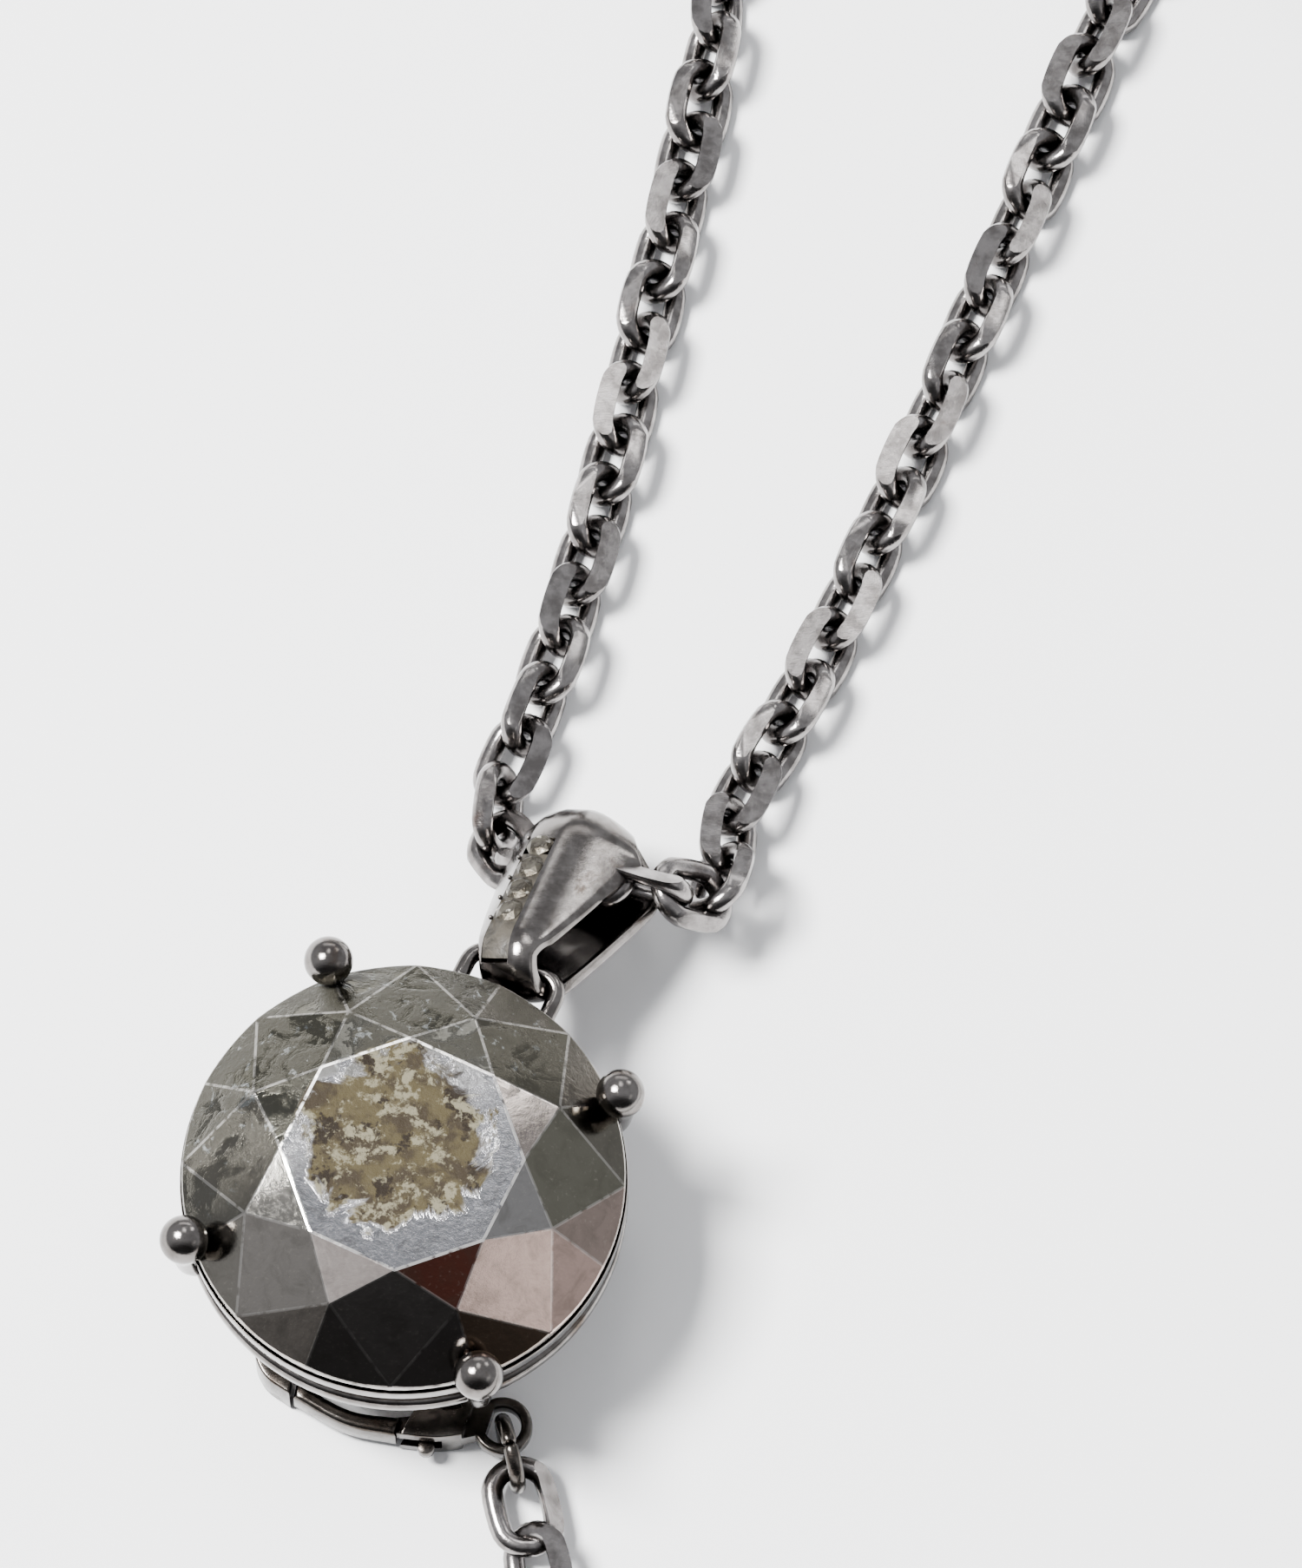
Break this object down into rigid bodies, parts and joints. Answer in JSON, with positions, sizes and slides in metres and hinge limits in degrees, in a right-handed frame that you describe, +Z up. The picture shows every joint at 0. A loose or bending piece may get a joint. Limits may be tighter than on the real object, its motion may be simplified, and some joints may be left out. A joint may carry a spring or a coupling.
{
  "type": "pendant necklace",
  "caption": "Pendant necklace: large round faceted stone in a closed four-prong cup, hung by a tapered stone-set bail on a flat-cut cable chain with a small lobster clasp.",
  "frame": {"origin": "centre of the cup's flat foot, on the table under the main stone", "axes": "+Z up off the table; +Y away from the viewer, towards the coiled chain; +X to the right"},
  "size_m": [0.0289, 0.069, 0.0063],
  "materials": {
    "bright_metal": "polished white metal, lightly scratched and stained",
    "chain_metal": "polished flat-cut links, darkened in the gaps",
    "clasp_metal": "polished, slightly worn",
    "main_stone": "mirror-backed cut glass, tarnished brown and grey, worn white along the facet edges",
    "small_stones": "small cut stones, dull and tarnished"
  },
  "bodies": {
    "chain": {"bail_link": "chain_metal", "left_link_1": "chain_metal", "left_link_2": "chain_metal", "left_link_3": "chain_metal", "right_link_1": "chain_metal", "right_link_2": "chain_metal", "right_link_3": "chain_metal", "left_strand": "chain_metal", "right_strand": "chain_metal", "chain_coil": "chain_metal", "clasp_end_link": "chain_metal", "end_link": "chain_metal"},
    "bail": {"bail": "bright_metal", "bail_stone_1": "small_stones", "bail_stone_2": "small_stones", "bail_stone_3": "small_stones", "bail_stone_4": "small_stones"},
    "pendant": {"main_stone": "main_stone", "setting_cup": "bright_metal", "gallery_ring": "bright_metal", "hanger_loop": "bright_metal", "prong_1": "bright_metal", "prong_2": "bright_metal", "prong_3": "bright_metal", "prong_4": "bright_metal"},
    "clasp": {"clasp_body": "clasp_metal", "clasp_pin": "clasp_metal", "clasp_spring": "clasp_metal", "clasp_ring": "clasp_metal"},
    "lever": {"clasp_lever": "clasp_metal"},
    "free_end": {"end_ring": "clasp_metal"}
  },
  "joints": [
    {"name": "bail_swing", "type": "hinge", "parent": "chain", "child": "bail", "pos_m": [0.00419, 0.00795, 0.00249], "axis": [-0.8723, 0.1836, -0.4532], "range_deg": [0, 90]},
    {"name": "pendant_swing", "type": "hinge", "parent": "bail", "child": "pendant", "pos_m": [0.00257, 0.00537, 0.00368], "axis": [-0.9018, 0.4321, 0], "range_deg": [0, 45]},
    {"name": "clasp_swing", "type": "hinge", "parent": "chain", "child": "clasp", "pos_m": [0.00245, -0.0057, 0.0009], "axis": [0, 0, 1], "range_deg": [0, 25]},
    {"name": "clasp_lever", "type": "hinge", "parent": "clasp", "child": "lever", "pos_m": [0.00064, -0.00464, 0.00062], "axis": [0, 0, -1], "range_deg": [0, 16], "stiffness_Nm_per_rad": 0.00002},
    {"name": "end_ring_swing", "type": "hinge", "parent": "chain", "child": "free_end", "pos_m": [0.00751, 0.0461, 0.00066], "axis": [0.2588, -0.9659, 0], "range_deg": [0, 60]}
  ]
}
